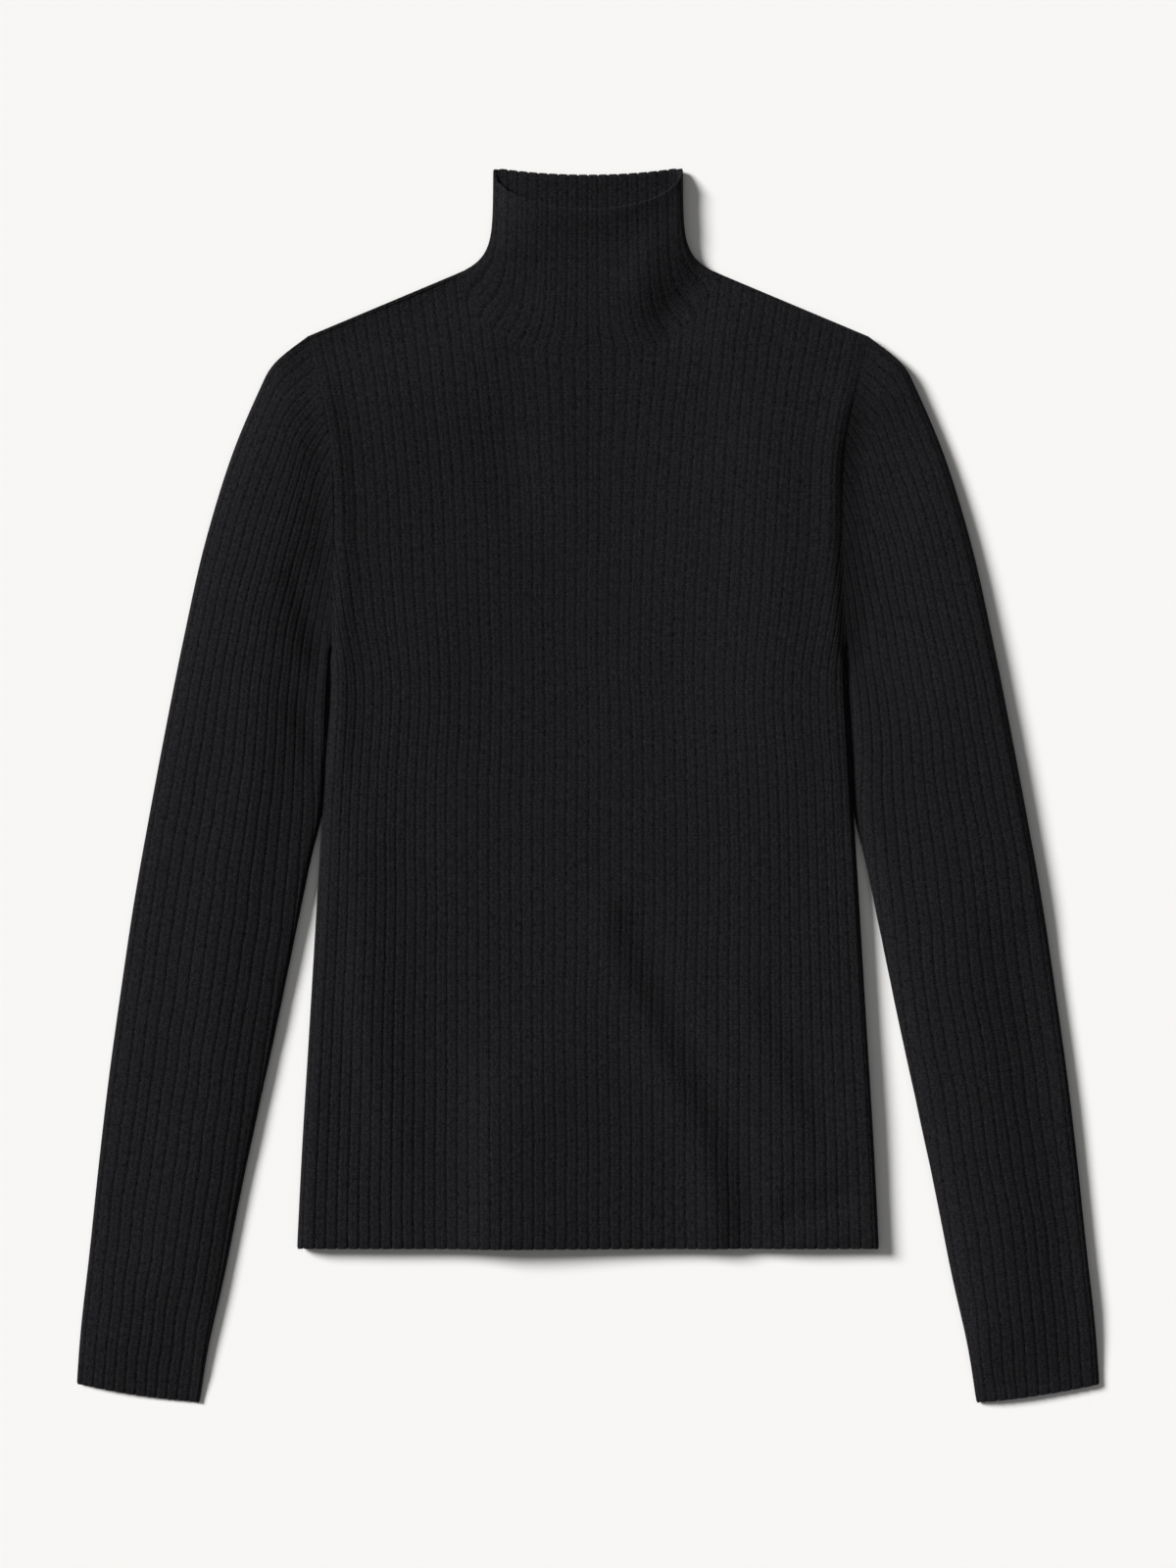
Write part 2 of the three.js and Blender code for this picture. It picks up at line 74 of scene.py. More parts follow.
# Neck, shoulder and collar
NECK_X, NECK_Y = 81.6, 311.7
SHOULDER_X, SHOULDER_Y = 171.6, 273.9
FRONT_NECK_DROP, BACK_NECK_DROP = 46.8, 14.0
NECK_SQUARENESS = 3.8
COLLAR_HALF, COLLAR_TOP, COLLAR_FLARE = 58.2, 377.7, 9.0
COLLAR_FRONT_DIP, COLLAR_BACK_DIP = 27.6, 5.2
TIP_DROP = 1.5        # the folded corners of the collar stand lower than its teeth
CUFF_BOW = 1.5

BODY = table(
    "y half pitch",
    (-284.1, 178.2, 6.6),
    (-219.3, 174.9, 6.65),
    (-150.3, 170.7, 6.7),
    (-78.3, 166.4, 6.75),
    (-6.3, 162.0, 6.78),
    (59.7, 158.4, 6.6),
)
# The ribs of the body are flatter, most of all over the chest
BODY_RIBS = table("y raise", (-284, 0.31), (-180, 0.26), (0, 0.19), (150, 0.13), (380, 0.17))
ARMHOLE = table(
    "x y body_rib sleeve_rib",
    (171.6, 273.9, 23, 0),
    (163.8, 239.7, 23, 5),
    (158.7, 215.7, 23, 9),
    (156.3, 194.7, 23, 11),
    (155.7, 167.7, 23, 13),
    (155.7, 149.7, 23, 14),
    (156.2, 128.7, 24, 15),
    (157.0, 104.7, 26, 16),
    (157.8, 80.7, 27, 17),
)
CHEST = 5             # row of the armhole table from which it runs straight up its last rib
SIDE_LENGTH = 430     # hem to chest
SLEEVE = table(
    "out_x out_y in_x in_y ribs bow",
    (171.6, 273.9, 157.8, 80.7, 17, 1),
    (191.7, 257.7, 158.0, 73.2, 17, 0.86),
    (201.9, 239.7, 158.2, 65.7, 17, 0.72),
    (219.3, 197.7, 158.9, 50.7, 17, 0.46),
    (235.5, 143.7, 159.9, 32.7, 16.9, 0.2),
    (247.5, 89.7, 161.2, 8.7, 16.6, 0),
    (258.3, 35.7, 162.9, -18.3, 16.1, 0),
    (268.5, -18.3, 169.9, -48.3, 15.4, 0),
    (278.1, -72.3, 178.6, -90.3, 14.7, 0),
    (286.2, -126.3, 189.1, -141.3, 14.1, 0),
    (293.7, -180.3, 200.8, -195.3, 13.6, 0),
    (300.0, -234.3, 212.2, -248.7, 13.2, 0),
    (305.7, -288.3, 222.7, -301.5, 12.9, 0),
    (310.5, -330.3, 232.0, -342.9, 12.7, 0),
    (313.6, -367.5, 238.0, -378.9, 12.5, 0),
)

# Each armhole seam lies in a valley, steep on the body's side of it, wide on the sleeve's side
# of it, and on the left it is shallow above the underarm
VALLEY_DEPTH = table(
    "y left right",
    (274, 0.2, 0.5),
    (240, 0.2, 1.0),
    (215, 0.3, 1.4),
    (168, 0.5, 1.7),
    (120, 1.2, 1.8),
    (81, 1.6, 1.6),
)
VALLEY_BODY_SIDE, VALLEY_SLEEVE_SIDE = 3.6, 15.0

# Soft folds of the upper layer: path, width and lift, troughs with a negative lift. A pair of
# widths is for the left and the right of the path as seen in the picture.
CREASES = [
    # along the body's edges
    ([(-162, 244), (-153, 200), (-151, 150), (-150.5, 100), (-151, 50), (-152, 10)], 7, 1.3),
    ([(-152, -20), (-156, -90)], 7, 1.0),
    ([(158, 236), (150, 196), (148, 150), (148, 100), (150, 50), (152, -10)], 9, 1.0),
    ([(172, 196), (177, 160), (177, 110), (172, 80)], (15, 44), -4.2),
    # front
    ([(-4, 196), (8, 90)], (84, 100), -4.6),
    ([(-50, 204), (-44, 180)], 20, -2.0),
    ([(116, 190), (110, 20)], 36, 2.4),
    ([(-140, -40), (-138, -130), (-124, -215)], (11, 18), 2.2),
    ([(-55, -204), (-57, -276)], (19, 54), 5.4),
    ([(8, -82), (19, -112), (44, -168), (69, -218), (76, -252), (77, -282)], 12, 1.9),
    ([(29, -86), (61, -160), (89, -214), (97, -252), (98, -276)], 13, -2.0),
    ([(97, -136), (130, -212)], 9, 0.9),
    ([(112, -130), (146, -205)], 10, -1.1),
    ([(124, -264), (154, -256)], 8, -3.4),
    # shoulders
    ([(-92, 304), (-172, 270)], 38, -5.8),
    ([(92, 302), (168, 268)], 20, -1.0),
    # neck
    ([(76, 322), (70, 310), (60, 296), (50, 284)], (13, 24), -4.4),
    ([(40, 328), (31, 306)], 12, 1.8),
    ([(-62, 334), (-40, 302)], 13, -1.2),
    ([(-49, 372), (-48, 332)], (9, 18), 1.8),
    ([(57, 372), (56, 346)], (13, 10), 1.6),
    # left sleeve
    ([(-180, 226), (-192, 140), (-202, 50), (-216, -60), (-234, -180), (-258, -330)], (30, 22), 3.4),
    ([(-179, 126), (-166, 78)], 8, -1.8),
    ([(-174, 43), (-165, 17)], 8, -1.8),
    ([(-285, -186), (-236, -204)], 8, -0.7),
    ([(-290, -262), (-250, -276)], 8, -0.7),
    ([(-250, -330), (-244, -384)], (30, 12), -4.2),
    # right sleeve
    ([(206, 150), (212, 40), (222, -80), (238, -180), (256, -300), (262, -370)], 28, 1.6),
    ([(266, -110), (282, -210), (300, -330)], (24, 26), -3.0),
]


def spline(values, at):
    """Smooth curve through rows of values, at row numbers that may lie between rows."""
    values = np.asarray(values, float)
    at = np.clip(np.asarray(at, float), 0, len(values) - 1)
    low = np.minimum(at.astype(int), len(values) - 2)
    share = (at - low).reshape(at.shape + (1,) * (values.ndim - 1))
    before = values[np.maximum(low - 1, 0)]
    start, end = values[low], values[low + 1]
    after = values[np.minimum(low + 2, len(values) - 1)]
    lean_in, lean_out = (end - before) / 2, (after - start) / 2
    square, cube = share**2, share**3
    return (
        start * (2 * cube - 3 * square + 1)
        + lean_in * (cube - 2 * square + share)
        + end * (3 * square - 2 * cube)
        + lean_out * (cube - square)
    )


def row_number(keys, at):
    """Row number, with its fraction, where a column of a table reaches a value."""
    keys = np.asarray(keys, float)
    order = 1 if keys[-1] > keys[0] else -1
    return np.interp(at, keys[::order], np.arange(len(keys))[::order])


def nearest_on(path, x, y):
    """Distance from plan points to a path, the way from it, and the cloth side, on its left."""
    path = np.asarray(path, float)
    best = np.full(x.shape, np.inf)
    away, cloth_side = np.zeros(x.shape + (2,)), np.zeros(x.shape + (2,))
    for (ax, ay), (bx, by) in zip(path[:-1], path[1:]):
        dx, dy = bx - ax, by - ay
        size = math.hypot(dx, dy)
        share = np.clip(((x - ax) * dx + (y - ay) * dy) / size**2, 0, 1)
        off_x, off_y = x - ax - dx * share, y - ay - dy * share
        distance = np.hypot(off_x, off_y)
        nearer = distance < best - 1e-9
        best = np.where(nearer, distance, best)
        away[nearer] = np.stack([off_x, off_y], -1)[nearer]
        cloth_side[nearer] = (-dy / size, dx / size)
    return best, away, cloth_side


def crease_lift(x, y):
    lift = np.zeros(x.shape)
    for path, widths, height in CREASES:
        distance, offset, _ = nearest_on(path, x, y)
        left, right = widths if isinstance(widths, tuple) else (widths, widths)
        to_right = 0.5 + 0.5 * offset[..., 0] / np.maximum(distance, 0.001)
        near = distance / (left + (right - left) * to_right)
        lift += height * np.exp(-(near**2))
    lift += 0.30 * np.sin(x / 19 + 1.3 * np.sin(y / 61)) * np.sin(y / 47 + 0.8)
    lift += 0.16 * np.sin(x / 9.5 - y / 83) * np.sin(y / 31 + x / 120)
    return lift + armhole_lift(x, y)


def armhole_lift(x, y):
    """The valley along both armhole seams, which pulls both pieces down to the same depth."""
    seam = np.stack([ARMHOLE["x"], ARMHOLE["y"]], -1)
    away, offset, _ = nearest_on(seam, np.abs(x), y)
    heights = VALLEY_DEPTH["y"][::-1]
    left, right = (np.interp(y, heights, VALLEY_DEPTH[hand][::-1]) for hand in ("left", "right"))
    depth = np.where(x < 0, left, right)
    outside = offset[..., 0] > 0
    near = np.where(outside, away / VALLEY_SLEEVE_SIDE, away / VALLEY_BODY_SIDE)
    return -depth * np.exp(-(near ** np.where(outside, 3.0, 2.0)))


def wander(x, y, amount):
    """How far the ribs stray sideways, since no knitted rib lies quite straight."""
    slow = 0.9 * np.sin(y / 41 + x / 87 + 2) + 0.5 * np.sin(y / 19 - x / 52 + 0.6 * np.sin(x / 23))
    quick = 0.3 * np.sin(y / 7.7 + x / 13) * np.sin(x / 31 + y / 57)
    return amount * (slow * np.sin(x / 61 + 1) + quick)


def cloth_points(x, y, folds, side, depth, relief=0.0, parting=0.0, way=None, reach=()):
    """Points of a wall laid flat, which turns down from level to mid height at a folded edge."""
    best, fold_turn = np.full(x.shape, np.inf), np.zeros(x.shape)
    away, cloth_side = np.zeros(x.shape + (2,)), np.zeros(x.shape + (2,))
    for path, upper_reach in zip(folds, reach):
        other, other_away, other_side = nearest_on(path, x, y)
        nearer = other < best
        best = np.where(nearer, other, best)
        away[nearer], cloth_side[nearer] = other_away[nearer], other_side[nearer]
        this_reach = np.where(side > 0, upper_reach, FOLD_REACH)
        fold_turn = np.maximum(fold_turn, 1 - other / this_reach)
    turn = np.maximum(0, 1 - best / FOLD_REACH)
    level = np.sqrt(1 - fold_turn**2)
    inward = away + cloth_side
    if way is not None:
        where, direction = way
        inward[where] = direction
    inward /= np.linalg.norm(inward, axis=-1, keepdims=True)
    shift = (depth * turn)[..., None] * inward
    rise = parting + (MID - parting - depth) * level
    upper = side > 0
    lift = np.where(upper, (relief + crease_lift(x, y)) * level, relief * level)
    return np.stack([x + shift[..., 0], y + shift[..., 1], MID + side * rise + lift], -1)


def settle(points, share):
    """Presses both layers down towards the table by a share of their height."""
    points[..., 2] *= 1 - share
    return points


def rib_profile(rib):
    """0 in the groove, on a whole rib number, and 1 over the rounded rib between two grooves."""
    off_groove = 0.5 - np.abs(rib - np.floor(rib) - 0.5)
    rounding = 0.92 + 0.08 * np.sin(np.pi * off_groove)
    return rounding * (1 - np.exp(-((off_groove / GROOVE) ** 2)))


def rib_columns(first, last, steps=(0, 0.05, 0.10, 0.18, 0.5, 0.82, 0.90, 0.95)):
    return np.append(np.concatenate([rib + np.array(steps) for rib in range(first, last)]), last)


def edge_rows(length, steps, both=False):
    """Row shares with extra rows where an open edge rounds over."""
    close = np.array([0, 0.08, 0.3, 0.65, 1]) * EDGE_ROUND / length
    middle = np.linspace(close[-1], 1 - (close[-1] if both else 0), steps)
    return np.concatenate([close[:-1], middle, 1 - close[:-1][::-1]] if both else [close[:-1], middle])


def edge_thinning(distance):
    """How far each face of the cloth is drawn in where it rounds over at an open edge."""
    near = np.clip(1 - distance / EDGE_ROUND, 0, 1)
    return 0.85 * (1 - np.sqrt(1 - near**2))


def plan_share(share, width):
    """Share of a layer's width at a share of its cloth, which also rounds over at both folds."""
    cloth = width + 2 * (FOLD_ARC - FOLD_REACH)
    along = np.minimum(share, 1 - share) * cloth
    turned = FOLD_REACH * (1 - np.cos(np.clip(along / FOLD_ARC, 0, 1) * np.pi / 2))
    offset = np.where(along < FOLD_ARC, turned, along - FOLD_ARC + FOLD_REACH)
    return np.where(share <= 0.5, offset / width, 1 - offset / width)


# Body

def neck_point(rib, drop):
    share = rib / NECK_RIB
    across = share * (1.04 - 0.04 * share**2)
    return across * NECK_X, NECK_Y - drop * (1 - np.abs(across) ** NECK_SQUARENESS)


def rib_top(rib, neck_drop):
    neck_x, neck_y = neck_point(np.clip(rib, -NECK_RIB, NECK_RIB), neck_drop)
    share = np.clip((np.abs(rib) - NECK_RIB) / (ARMHOLE_RIB - NECK_RIB), 0, 1)
    return (
        neck_x + np.sign(rib) * share * (SHOULDER_X - NECK_X),
        neck_y + share * (SHOULDER_Y - NECK_Y),
    )


def body_row(rib, row):
    half, pitch = BODY["half"][row], BODY["pitch"][row]
    crowding = (SIDE_RIB * pitch - (half - FOLD_REACH + FOLD_ARC)) / SIDE_RIB**3
    size = np.abs(rib)
    along = size * pitch - crowding * size**3
    past = np.maximum(0, along - (half - FOLD_REACH))
    turned = half - FOLD_REACH + FOLD_REACH * np.sin(np.clip(past / FOLD_ARC, 0, 1) * np.pi / 2)
    x = np.sign(rib) * np.where(past > 0, turned, along)
    return np.stack([x, np.full(rib.shape, BODY["y"][row])], -1)


def chest_row(rib):
    size = np.abs(rib)
    lower = row_number(ARMHOLE["body_rib"][CHEST:], size) + CHEST
    on_armhole = size > ARMHOLE_RIB
    x = np.where(on_armhole, spline(ARMHOLE["x"], lower), size * ARMHOLE["x"][CHEST] / ARMHOLE_RIB)
    y = np.where(on_armhole, spline(ARMHOLE["y"], lower), ARMHOLE["y"][CHEST])
    return np.stack([np.sign(rib) * x, y], -1)


def yoke_rows(rib, share, neck_drop):
    """Above the chest the ribs spread to the neck, and the last one runs up the armhole."""
    chest = chest_row(rib)
    top_x, top_y = rib_top(rib, neck_drop)
    up = share[:, None]
    y = chest[:, 1] + (top_y - chest[:, 1]) * up
    spread = up**1.5
    edge_y = ARMHOLE["y"][CHEST] + (SHOULDER_Y - ARMHOLE["y"][CHEST]) * up
    straight = ARMHOLE["x"][CHEST] + (SHOULDER_X - ARMHOLE["x"][CHEST]) * spread
    edge = spline(ARMHOLE["x"], row_number(ARMHOLE["y"], edge_y)) - straight
    x = chest[:, 0] + (top_x - chest[:, 0]) * spread
    x = x + edge * np.sign(rib) * (rib / ARMHOLE_RIB) ** 4
    return np.stack([x, y], -1)


def panel_plan(rib, steps, neck_drop):
    """Plan points of a body panel from the hem up, and which of them the panel has."""
    rows = [body_row(rib, row) for row in range(len(BODY["y"]))]
    chest = chest_row(rib)
    rows += [(rows[-1] + chest) / 2, chest]
    lower = spline(np.array(rows), (len(rows) - 1) * edge_rows(SIDE_LENGTH, steps))
    rounding = 1 - np.array([0.08, 0.05, 0.028, 0.013, 0.004, 0])
    share = np.concatenate([np.linspace(0, 0.9, steps // 2)[1:], rounding])
    upper = yoke_rows(rib, share, neck_drop)
    plan = np.concatenate([lower, upper])
    kept = np.ones(plan.shape[:2], bool)
    kept[len(lower):] = np.abs(rib) <= ARMHOLE_RIB
    return plan, kept, both_sides(lower[:, -1], SHOULDER_FOLD)


def collar_edge(rise):
    return COLLAR_HALF + (NECK_X - COLLAR_HALF) * np.exp(-rise / COLLAR_FLARE), NECK_Y + rise


def left_of(path):
    return np.asarray(path)[::-1] * (-1, 1)


def both_sides(*paths):
    return list(paths) + [left_of(path) for path in paths]


COLLAR_TALL = COLLAR_TOP - NECK_Y
COLLAR_RISE = COLLAR_TALL * (1 - edge_rows(COLLAR_TALL, 26)[::-1])
SHOULDER_FOLD = np.concatenate(
    [[(SHOULDER_X, SHOULDER_Y)], np.stack(collar_edge(COLLAR_RISE), -1)]
)


# Sleeve

def sleeve_folds(row):
    at_seam = np.where(row <= 0, 1, 0)
    outer = spline(np.stack([SLEEVE["out_x"], SLEEVE["out_y"]], -1), row)
    inner = spline(np.stack([SLEEVE["in_x"], SLEEVE["in_y"]], -1), row)
    outer[..., 0] += at_seam * SEAM
    inner[..., 0] += np.where(at_seam, SEAM, SIDE_CLEAR)
    return outer, inner


def sleeve_plan(row, share):
    """Plan points of a right sleeve layer, from its outer fold at share 0 to its inner fold."""
    arm = row_number(ARMHOLE["sleeve_rib"], share * SLEEVE_RIBS)
    seam = np.stack([spline(ARMHOLE["x"], arm) + SEAM, spline(ARMHOLE["y"], arm)], -1)
    tip = np.array([SHOULDER_X + SEAM, SHOULDER_Y])
    underarm = np.array([ARMHOLE["x"][-1] + SEAM, ARMHOLE["y"][-1]])
    chord = tip + (underarm - tip) * share[..., None]
    outer, inner = sleeve_folds(row)
    flat = outer[:, None] + (inner - outer)[:, None] * share[..., None]
    bow = np.maximum(spline(SLEEVE["bow"], row), 0)[:, None, None]
    plan = flat + bow * (seam - chord)
    cuff = np.clip(row - (len(SLEEVE["ribs"]) - 2), 0, 1)[:, None]
    plan[..., 1] -= CUFF_BOW * 4 * share * (1 - share) * cuff
    return plan


# Making a wall of cloth

def cloth_wall(name, outer, inner, knit, kept=None, ring=False):
    """One closed piece from two mapped grids of points, its edges bridged.

    knit holds the rib number and the distance along the rib at each point, for the stitches.
    A panel is open at its first row of points, and a ring at its last one.
    """
    rows, columns = outer.shape[:2]
    bm = bmesh.new()
    number = bm.verts.layers.int.new("row")
    rib_at = bm.verts.layers.float_vector.new("knit")
    uv = bm.loops.layers.uv.new("knit")
    for points in (outer, inner):
        if ring:
            points[:, -1] = points[:, 0]
        made = bmesh.ops.create_grid(bm, x_segments=columns - 1, y_segments=rows - 1, size=1)
        for vertex in made["verts"]:
            i = round((vertex.co.x + 1) / 2 * (columns - 1))
            j = round((vertex.co.y + 1) / 2 * (rows - 1))
            vertex.co = points[j, i] * MM
            vertex[number] = j
            vertex[rib_at] = (knit[j, i, 0], knit[j, i, 1], 0)
            vertex.tag = kept is not None and not kept[j, i]
    for face in bm.faces:
        for loop in face.loops:
            loop[uv].uv = loop.vert[rib_at].xy
    bmesh.ops.delete(bm, geom=[v for v in bm.verts if v.tag], context="VERTS")
    if ring:
        bmesh.ops.remove_doubles(bm, verts=bm.verts, dist=2e-6)
    open_row = rows - 1 if ring else 0
    open_edges = [edge for edge in bm.edges if edge.is_boundary]
    ends = [0, rows - 1] if ring else [None]
    rims = []
    for end in ends:
        rim = [e for e in open_edges if end is None or all(v[number] == end for v in e.verts)]
        rims += bmesh.ops.bridge_loops(bm, edges=rim)["faces"]
    bmesh.ops.recalc_face_normals(bm, faces=bm.faces)
    for face in bm.faces:
        face.smooth = True
    for face in rims:
        if not all(vertex[number] == open_row for vertex in face.verts):
            for edge in face.edges:
                edge.smooth = False
        for loop in face.loops:
            loop[uv].uv = loop.vert[rib_at].xy
    mesh = bpy.data.meshes.new(name)
    bm.to_mesh(mesh)
    bm.free()
    piece = bpy.data.objects.new(name, mesh)
    bpy.context.scene.collection.objects.link(piece)
    return piece


def body_panel(name, side, neck_drop, columns, steps):
    plan, kept, folds = panel_plan(columns, steps, neck_drop)
    x, y = plan[..., 0], plan[..., 1]
    below_seam = np.clip((rib_top(columns, neck_drop)[1] - y) / 30, 0, 1)
    x = x + wander(x, y, 0.7) * (1 - (np.abs(columns) / SIDE_RIB) ** 4) * below_seam
    hem = y - BODY["y"][0]
    ribs = rib_profile(columns)[None, :]
    scallop = -SCALLOP * ribs * np.clip(1 - hem / 12, 0, 1)
    thinning = edge_thinning(hem)
    reach = (RIGHT_REACH, COLLAR_REACH, LEFT_REACH, COLLAR_REACH)
    faces = []
    rib_raise = np.interp(y, BODY_RIBS["y"], BODY_RIBS["raise"])
    rib_raise = rib_raise * np.interp(x, (-120, -40, 40, 120), (1.6, 1, 1, 1.25))
    for depth, raised in ((0, rib_raise if side > 0 else 0), (WALL, 0 if side > 0 else 0.5)):
        drawn_in = thinning if depth == 0 else -thinning
        relief = side * (raised * ribs if depth == 0 else -raised * ribs)
        points = cloth_points(
            x, y + scallop, folds, side, depth + drawn_in, relief, SEAM / 2, reach=reach
        )
        faces.append(points)
    knit = np.stack([np.broadcast_to(columns, x.shape), y / COURSE], -1)
    return cloth_wall(name, faces[0], faces[1], knit, kept)


def sleeve(name, hand, columns, lower, steps):
    last_row = len(SLEEVE["ribs"]) - 1
    fine = np.array([0, 0.25, 0.6])
    row = np.concatenate([fine, last_row * (1 - edge_rows(600, steps)[::-1])[1:]])
    row = np.unique(np.round(row, 6))
    ribs_there = spline(SLEEVE["ribs"], row)[:, None]
    outer_fold, inner_fold = sleeve_folds(row)
    width = np.linalg.norm(outer_fold - inner_fold, axis=-1)[:, None]
    past = SLEEVE_RIBS / ribs_there
    around = np.concatenate([columns / ribs_there, past + (2 - past) * lower], axis=1)
    share = np.where(around <= 1, around, 2 - around)
    turned = plan_share(share, width)
    blend = np.clip(row, 0, 1)[:, None]
    share = share + (turned - share) * blend
    side = np.where(around <= 1, 1, -1)
    plan = sleeve_plan(row, share)
    rib = np.concatenate([columns, SLEEVE_RIBS + (SLEEVE_RIBS * lower)])
    rib = np.broadcast_to(rib, around.shape)
    ribbed = np.concatenate([np.ones(len(columns)), np.zeros(len(lower))])
    profile = rib_profile(columns)
    profile = np.concatenate([profile, np.zeros(len(lower))])[None, :] * ribbed
    cuff = np.linalg.norm(outer_fold - outer_fold[-1], axis=-1)[:, None]
    along = np.concatenate([[0], np.cumsum(np.linalg.norm(np.diff(outer_fold, axis=0), axis=-1))])
    inside = 1 - (2 * np.clip(share, 0, 1) - 1) ** 4
    x = hand * plan[..., 0]
    stray = np.interp(plan[..., 1], (-380, -200, 0), (1.9, 1.5, 1.1))
    x = x + wander(x, plan[..., 1], stray) * inside * np.clip(row / 2, 0, 1)[:, None]
    y = plan[..., 1] - SCALLOP * profile * np.clip(1 - cuff / 12, 0, 1)
    thinning = edge_thinning(cuff)
    cap = 1 - 0.6 * np.exp(-((row / 2.8) ** 2))[:, None]
    reach = SLEEVE_REACH[hand]
    folds = [outer_fold[::-1], inner_fold]
    if hand < 0:
        folds = [left_of(path) for path in folds]
    from_inner = nearest_on(folds[1], x, y)[0]
    flat = np.interp(y, (-260, -110, 40), (0.40, 0.24, 0)) if hand < 0 else 0
    pressed = flat + 0.12 * np.exp(-((from_inner / 8) ** 2)) * np.clip((40 - y) / 80, 0, 1)
    pressed = np.maximum(pressed, (0.66 if hand < 0 else 0.55) * np.exp(-((cuff / 30) ** 2)))
    relief = RIB_RAISE * profile * cap * (side > 0) / (1 - pressed)
    seam_way = np.array([hand * (ARMHOLE["x"][1] - SHOULDER_X), ARMHOLE["y"][1] - SHOULDER_Y])
    at_tip = (row[:, None] <= 0) & (share < 0.5)
    faces = [
        cloth_points(x, y, folds, side, thinning, relief, 0, (at_tip, seam_way), reach),
        cloth_points(x, y, folds, side, WALL - thinning, 0, 0, (at_tip, seam_way), reach),
    ]
    faces = [settle(points, pressed) for points in faces]
    knit = np.stack([rib, np.broadcast_to(along[:, None] / COURSE, rib.shape)], -1)
    return cloth_wall(name, faces[0], faces[1], knit, ring=True)


def collar_plan(rib, rise, neck_drop, top_dip, edge_shape):
    up = (rise / COLLAR_TALL)[:, None]
    share = np.broadcast_to((rib / NECK_RIB + 1) / 2, (len(rise), len(rib)))
    width = 2 * collar_edge(rise)[0][:, None]
    blend = np.clip(rise / 3, 0, 1)[:, None]
    across = share + (plan_share(share, width) - share) * blend
    centred = 2 * across - 1
    side = np.abs(centred)
    base_x, base_y = neck_point(centred * NECK_RIB, neck_drop)
    base_x = base_x - np.sign(centred) * SEAM * 1.2 * side**3
    base_y = base_y + SEAM
    top_y = COLLAR_TOP - top_dip * (1 - side**2) ** edge_shape
    top_y = top_y - TIP_DROP * np.exp(-(((1 - side) * COLLAR_HALF / 3.5) ** 2))
    straight = (NECK_X - SEAM * 1.2) + (COLLAR_HALF - NECK_X + SEAM * 1.2) * up
    pull = np.where(rise[:, None] > 0, collar_edge(rise)[0][:, None] - straight, 0)
    x = base_x + (centred * COLLAR_HALF - base_x) * up + pull * centred
    return x, base_y + (top_y - base_y) * up


def collar(name, columns):
    rise = COLLAR_RISE
    front_x, front_y = collar_plan(columns, rise, FRONT_NECK_DROP, COLLAR_FRONT_DIP, 0.47)
    back = columns[::-1]
    back_x, back_y = collar_plan(back, rise, BACK_NECK_DROP, COLLAR_BACK_DIP, 0.9)
    x, y = np.concatenate([front_x, back_x[:, 1:]], 1), np.concatenate([front_y, back_y[:, 1:]], 1)
    side = np.concatenate([np.ones(front_x.shape), -np.ones(back_x[:, 1:].shape)], 1)
    profile = np.concatenate([rib_profile(columns), rib_profile(back[1:])])[None, :]
    to_edge = (COLLAR_TALL - rise)[:, None] * np.ones(x.shape)
    y = y + 0.7 * profile * np.clip(1 - to_edge / 8, 0, 1)
    thinning = edge_thinning(to_edge)
    folds = both_sides(SHOULDER_FOLD)
    reach = (COLLAR_RIGHT_REACH, COLLAR_REACH)
    upper = side > 0
    sideways = np.clip(np.abs(x) / COLLAR_HALF, 0, 1)
    loft = 0.6 * np.exp(-((to_edge / 2.4) ** 2))
    loft = loft + 4.2 * np.exp(-((to_edge / 12) ** 2)) * (1 - sideways**2)
    back_loft = 2.6 * np.exp(-((to_edge / 9) ** 2)) * (1 - sideways**2) * ~upper
    rib_raise = np.interp(y, BODY_RIBS["y"], BODY_RIBS["raise"])
    faces = [
        cloth_points(x, y, folds, side, thinning, (rib_raise * profile + loft) * upper + back_loft,
                     reach=reach),
        cloth_points(x, y, folds, side, WALL - thinning, 0.15 * profile * ~upper + back_loft,
                     reach=reach),
    ]
    pressed = np.where(x < 0, 0.66, 0.1) * np.exp(-((to_edge / 26) ** 2)) * sideways**4
    faces = [settle(points, pressed) for points in faces]
    rib = np.concatenate([columns, 2 * NECK_RIB - back[1:]])
    steps = np.hypot(np.diff(x, axis=0), np.diff(y, axis=0))
    along = np.concatenate([np.zeros((1, x.shape[1])), np.cumsum(steps, axis=0)])
    knit = np.stack([np.broadcast_to(rib, x.shape), along / COURSE], -1)
    return cloth_wall(name, faces[0], faces[1], knit, ring=True)


# Yarn

class Value:
    """A socket that carries a number, so that shader sums read as sums."""

    def __init__(self, wool, socket):
        self.wool, self.socket = wool, socket

    def _math(self, operation, first, second=None):
        inputs = {0: first} if second is None else {0: first, 1: second}
        return self.wool.value("ShaderNodeMath", inputs, operation=operation)

    def __add__(self, other):
        return self._math("ADD", self, other)

    def __sub__(self, other):
        return self._math("SUBTRACT", self, other)

    def __rsub__(self, other):
        return self._math("SUBTRACT", other, self)

    def __mul__(self, other):
        return self._math("MULTIPLY", self, other)

    def __truediv__(self, other):
        return self._math("DIVIDE", self, other)

    def __pow__(self, other):
        return self._math("POWER", self, other)

    __radd__ = __add__
    __rmul__ = __mul__

    def fraction(self):
        return self._math("FRACT", self)

    def size(self):
        return self._math("ABSOLUTE", self)

    def cosine(self):
        return self._math("COSINE", self)

    def least(self, other):
        return self._math("MINIMUM", self, other)

    def above(self, other):
        return self._math("GREATER_THAN", self, other)


